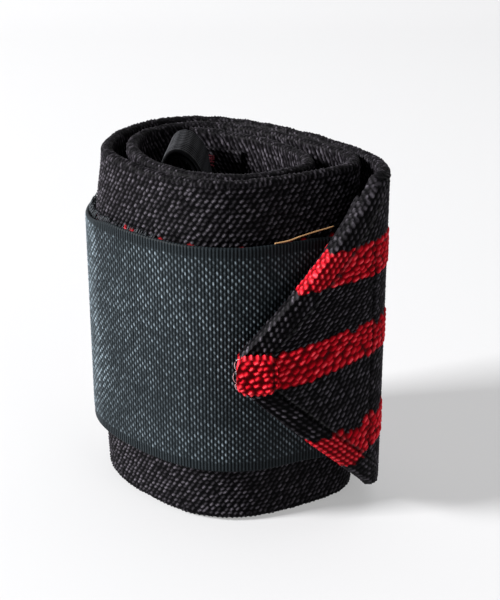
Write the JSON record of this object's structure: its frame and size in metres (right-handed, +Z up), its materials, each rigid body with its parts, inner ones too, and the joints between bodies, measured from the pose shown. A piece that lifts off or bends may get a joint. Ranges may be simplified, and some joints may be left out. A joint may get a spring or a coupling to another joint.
{
  "type": "wrist support wrap",
  "caption": "Rolled elastic wrist wrap on its edge: red-striped band with a pointed end flap, a hook tape strap round the roll and a ribbed thumb loop in its core.",
  "frame": {"origin": "centre of the footprint on the surface it stands on", "axes": "+Z up along the roll, -Y towards the front with the pointed end flap, +X to the right seen from the front"},
  "size_m": [0.0637, 0.0594, 0.076],
  "materials": {
    "band_elastic": "knitted, matt",
    "tip_cover": "knitted, matt",
    "hook_tape": "woven, low sheen",
    "hook_pile": "fine nylon hooks",
    "loop_elastic": "ribbed, low sheen",
    "seam_thread": "spun thread",
    "clear_thread": "clear nylon",
    "tan_thread": "spun thread",
    "tack_thread": "spun thread",
    "tape_thread": "spun thread"
  },
  "bodies": {
    "end_flap": {"band_01": "band_elastic", "flap_fold_upper": "band_elastic", "flap_fold_lower": "band_elastic", "tip_block": "tip_cover", "seam_base": "seam_thread", "seam_upper": "seam_thread", "seam_lower": "seam_thread", "tip_thread": "clear_thread", "strap_01": "hook_tape", "hooks_01": "hook_pile", "strap_edge_thread": "tan_thread"},
    "band_run_02": {"band_02": "band_elastic"},
    "band_run_03": {"band_03": "band_elastic"},
    "band_run_04": {"band_04": "band_elastic"},
    "band_run_05": {"band_05": "band_elastic"},
    "band_run_06": {"band_06": "band_elastic"},
    "band_run_07": {"band_07": "band_elastic"},
    "band_run_08": {"band_08": "band_elastic"},
    "front_run": {"band_09": "band_elastic"},
    "band_run_10": {"band_10": "band_elastic"},
    "band_run_11": {"band_11": "band_elastic"},
    "band_run_12": {"band_12": "band_elastic"},
    "band_run_13": {"band_13": "band_elastic"},
    "band_run_14": {"band_14": "band_elastic"},
    "band_run_15": {"band_15": "band_elastic"},
    "band_run_16": {"band_16": "band_elastic"},
    "band_run_17": {"band_17": "band_elastic"},
    "inner_end": {"band_18": "band_elastic", "inner_hem": "band_elastic", "hem_tack": "tack_thread"},
    "strap_run_2": {"strap_02": "hook_tape", "hooks_02": "hook_pile"},
    "strap_run_3": {"strap_03": "hook_tape", "hooks_03": "hook_pile"},
    "strap_run_4": {"strap_04": "hook_tape", "hooks_04": "hook_pile"},
    "strap_run_5": {"strap_05": "hook_tape", "hooks_05": "hook_pile"},
    "strap_tab": {"strap_06": "hook_tape", "hooks_06": "hook_pile", "strap_end_seam": "tape_thread"},
    "thumb_loop": {"thumb_loop_outer": "loop_elastic", "thumb_loop_inner": "loop_elastic"}
  },
  "joints": [
    {"name": "unroll", "type": "hinge", "parent": "front_run", "child": "band_run_08", "pos_m": [-0.0252, -0.00424, 0.038], "axis": [0, 0, 1], "range_deg": [0, 50.1]},
    {"name": "open_07", "type": "hinge", "parent": "band_run_08", "child": "band_run_07", "pos_m": [-0.02816, 0.00868, 0.038], "axis": [0, 0, 1], "range_deg": [0, 4.97]},
    {"name": "open_06", "type": "hinge", "parent": "band_run_07", "child": "band_run_06", "pos_m": [-0.02262, 0.02285, 0.038], "axis": [0, 0, 1], "range_deg": [0, 23.19]},
    {"name": "open_05", "type": "hinge", "parent": "band_run_06", "child": "band_run_05", "pos_m": [-0.0139, 0.0292, 0.038], "axis": [0, 0, 1], "range_deg": [0, 42.56]},
    {"name": "open_04", "type": "hinge", "parent": "band_run_05", "child": "band_run_04", "pos_m": [-0.00112, 0.02877, 0.038], "axis": [0, 0, 1], "range_deg": [0, 42.17]},
    {"name": "open_03", "type": "hinge", "parent": "band_run_04", "child": "band_run_03", "pos_m": [0.02554, 0.00608, 0.038], "axis": [0, 0, 1], "range_deg": [0, 23.45]},
    {"name": "open_02", "type": "hinge", "parent": "band_run_03", "child": "band_run_02", "pos_m": [0.03216, -0.0087, 0.038], "axis": [0, 0, 1], "range_deg": [0, 40.9]},
    {"name": "open_01", "type": "hinge", "parent": "band_run_02", "child": "end_flap", "pos_m": [0.03035, -0.01689, 0.038], "axis": [0, 0, 1], "range_deg": [0, 44.95]},
    {"name": "open_09", "type": "hinge", "parent": "front_run", "child": "band_run_10", "pos_m": [0.02639, -0.00654, 0.038], "axis": [0, 0, -1], "range_deg": [0, 68.06]},
    {"name": "open_10", "type": "hinge", "parent": "band_run_10", "child": "band_run_11", "pos_m": [0.02501, 0.00136, 0.038], "axis": [0, 0, -1], "range_deg": [0, 4.36]},
    {"name": "open_11", "type": "hinge", "parent": "band_run_11", "child": "band_run_12", "pos_m": [-0.00468, 0.02458, 0.038], "axis": [0, 0, -1], "range_deg": [0, 37.44]},
    {"name": "open_12", "type": "hinge", "parent": "band_run_12", "child": "band_run_13", "pos_m": [-0.01729, 0.02151, 0.038], "axis": [0, 0, -1], "range_deg": [0, 42.43]},
    {"name": "open_13", "type": "hinge", "parent": "band_run_13", "child": "band_run_14", "pos_m": [-0.02298, 0.0067, 0.038], "axis": [0, 0, -1], "range_deg": [0, 9.52]},
    {"name": "open_14", "type": "hinge", "parent": "band_run_14", "child": "band_run_15", "pos_m": [-0.01148, -0.014, 0.038], "axis": [0, 0, -1], "range_deg": [0, 18.39]},
    {"name": "open_15", "type": "hinge", "parent": "band_run_15", "child": "band_run_16", "pos_m": [0.0044, -0.01779, 0.038], "axis": [0, 0, -1], "range_deg": [0, 54.47]},
    {"name": "open_16", "type": "hinge", "parent": "band_run_16", "child": "band_run_17", "pos_m": [0.01646, -0.00884, 0.038], "axis": [0, 0, -1], "range_deg": [0, 7.47]},
    {"name": "open_17", "type": "hinge", "parent": "band_run_17", "child": "inner_end", "pos_m": [0.01435, 0.00299, 0.038], "axis": [0, 0, -1], "range_deg": [0, 18.71]},
    {"name": "strap_open_1", "type": "hinge", "parent": "end_flap", "child": "strap_run_2", "pos_m": [-0.00171, -0.024, 0.038], "axis": [0, 0, 1], "range_deg": [0, 36.23]},
    {"name": "strap_open_2", "type": "hinge", "parent": "strap_run_2", "child": "strap_run_3", "pos_m": [-0.01534, -0.01854, 0.038], "axis": [0, 0, 1], "range_deg": [0, 21.33]},
    {"name": "strap_open_3", "type": "hinge", "parent": "strap_run_3", "child": "strap_run_4", "pos_m": [-0.02567, -0.0089, 0.038], "axis": [0, 0, 1], "range_deg": [0, 15.86]},
    {"name": "strap_open_4", "type": "hinge", "parent": "strap_run_4", "child": "strap_run_5", "pos_m": [-0.0315, 0.00183, 0.038], "axis": [0, 0, 1], "range_deg": [0, 34.37]},
    {"name": "strap_tab_peel", "type": "hinge", "parent": "strap_run_5", "child": "strap_tab", "pos_m": [-0.03137, 0.01306, 0.038], "axis": [0, 0, 1], "range_deg": [0, 70]},
    {"name": "thumb_loop_swing", "type": "hinge", "parent": "inner_end", "child": "thumb_loop", "pos_m": [-0.0085, 0, 0.062], "axis": [0, 1, 0], "range_deg": [-5, 5], "stiffness_Nm_per_rad": 0.004}
  ],
  "couplings": [
    {"joint": "open_07", "follows": "unroll", "ratio": 0.0983},
    {"joint": "open_06", "follows": "unroll", "ratio": 0.4619},
    {"joint": "open_05", "follows": "unroll", "ratio": 0.8486},
    {"joint": "open_04", "follows": "unroll", "ratio": 0.8408},
    {"joint": "open_03", "follows": "unroll", "ratio": 0.4671},
    {"joint": "open_02", "follows": "unroll", "ratio": 0.8153},
    {"joint": "open_01", "follows": "unroll", "ratio": 0.8963},
    {"joint": "open_09", "follows": "unroll", "ratio": 1.3575},
    {"joint": "open_10", "follows": "unroll", "ratio": 0.086},
    {"joint": "open_11", "follows": "unroll", "ratio": 0.7464},
    {"joint": "open_12", "follows": "unroll", "ratio": 0.846},
    {"joint": "open_13", "follows": "unroll", "ratio": 0.1891},
    {"joint": "open_14", "follows": "unroll", "ratio": 0.3661},
    {"joint": "open_15", "follows": "unroll", "ratio": 1.0862},
    {"joint": "open_16", "follows": "unroll", "ratio": 0.1481},
    {"joint": "open_17", "follows": "unroll", "ratio": 0.3725},
    {"joint": "strap_open_1", "follows": "unroll", "ratio": 0.7222},
    {"joint": "strap_open_2", "follows": "unroll", "ratio": 0.4247},
    {"joint": "strap_open_3", "follows": "unroll", "ratio": 0.3155},
    {"joint": "strap_open_4", "follows": "unroll", "ratio": 0.6851}
  ]
}
